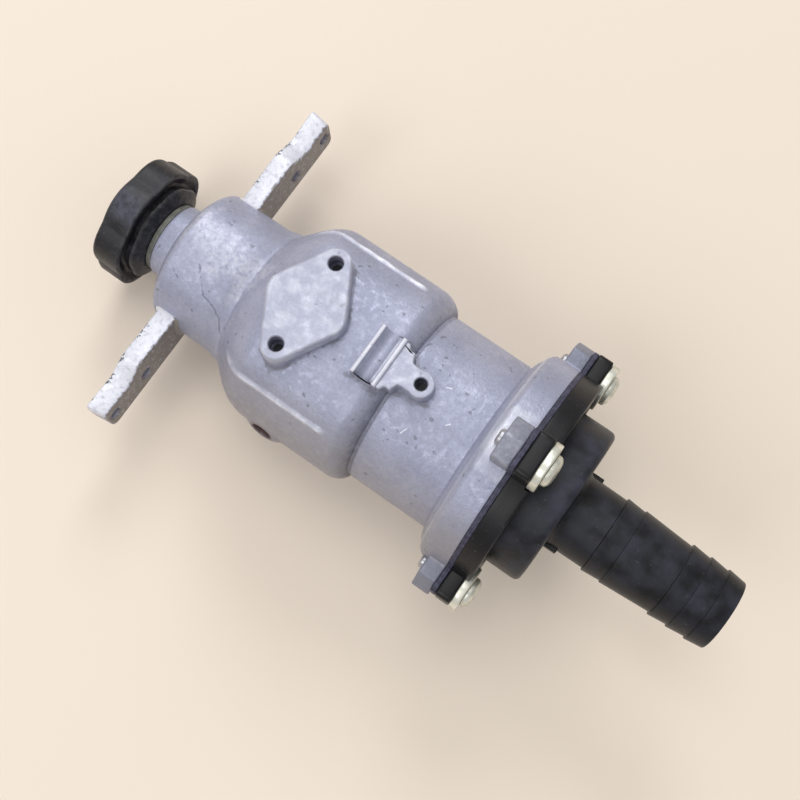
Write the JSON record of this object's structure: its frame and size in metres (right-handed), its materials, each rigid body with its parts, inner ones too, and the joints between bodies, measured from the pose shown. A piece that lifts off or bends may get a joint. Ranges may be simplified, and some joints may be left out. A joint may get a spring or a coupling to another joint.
{
  "type": "manual bilge pump",
  "caption": "Hand lift pump: lobed knob on a sliding plunger, cast aluminium body with side ears and raised pads, and a black plastic end cover with a hose barb.",
  "frame": {"origin": "the middle of the pump's box, which lies on the plunger axis", "axes": "+X along the plunger axis towards the hose barb, with the knob at -X; +Z towards the side with the cast pads; +Y towards one mounting ear"},
  "size_m": [0.1726, 0.0926, 0.071],
  "materials": {
    "cast_aluminium": "as cast, dull and mottled",
    "bump_rubber": "dull",
    "seal_rubber": "satin",
    "valve_rubber": "dull",
    "gasket_rubber": "dull",
    "white_plastic": "satin",
    "knob_plastic": "satin",
    "cover_plastic": "satin",
    "liner_brass": "drawn",
    "insert_brass": "turned",
    "rod_steel": "ground",
    "washer_steel": "plain",
    "spring_steel": "dark",
    "zinc_steel": "zinc plated"
  },
  "bodies": {
    "casting": {"pump_body": "cast_aluminium", "knob_washer": "bump_rubber", "rod_seal": "seal_rubber", "gland_bush": "white_plastic", "gland_circlip": "spring_steel", "cylinder_liner": "liner_brass", "cover_gasket": "gasket_rubber", "end_cover": "cover_plastic", "valve_plate": "white_plastic", "foot_valve_bolt": "washer_steel", "foot_valve_nut": "washer_steel", "cover_screw_1": "zinc_steel", "cover_screw_2": "zinc_steel", "cover_screw_3": "zinc_steel", "cover_screw_4": "zinc_steel", "cover_washer_1": "zinc_steel", "cover_washer_2": "zinc_steel", "cover_washer_3": "zinc_steel", "cover_washer_4": "zinc_steel"},
    "piston_rings": {"piston_seal": "seal_rubber", "piston_guide_ring": "white_plastic"},
    "plunger": {"knob": "knob_plastic", "knob_insert": "insert_brass", "plunger_rod": "rod_steel", "valve_stop_washer": "washer_steel", "piston": "white_plastic", "piston_washer": "washer_steel", "piston_nut": "washer_steel"},
    "piston_valve": {"piston_valve_disc": "valve_rubber"},
    "foot_valve": {"foot_valve_disc": "valve_rubber"}
  },
  "joints": [
    {"name": "plunger_slide", "type": "slide", "parent": "casting", "child": "piston_rings", "axis": [1, 0, 0], "range_m": [-0.04, 0]},
    {"name": "plunger_turn", "type": "hinge", "parent": "piston_rings", "child": "plunger", "pos_m": [0, 0, 0], "axis": [1, 0, 0], "continuous": true},
    {"name": "piston_valve_lift", "type": "slide", "parent": "plunger", "child": "piston_valve", "axis": [1, 0, 0], "range_m": [-0.0023, 0]},
    {"name": "foot_valve_lift", "type": "slide", "parent": "casting", "child": "foot_valve", "axis": [1, 0, 0], "range_m": [-0.0024, 0]}
  ]
}
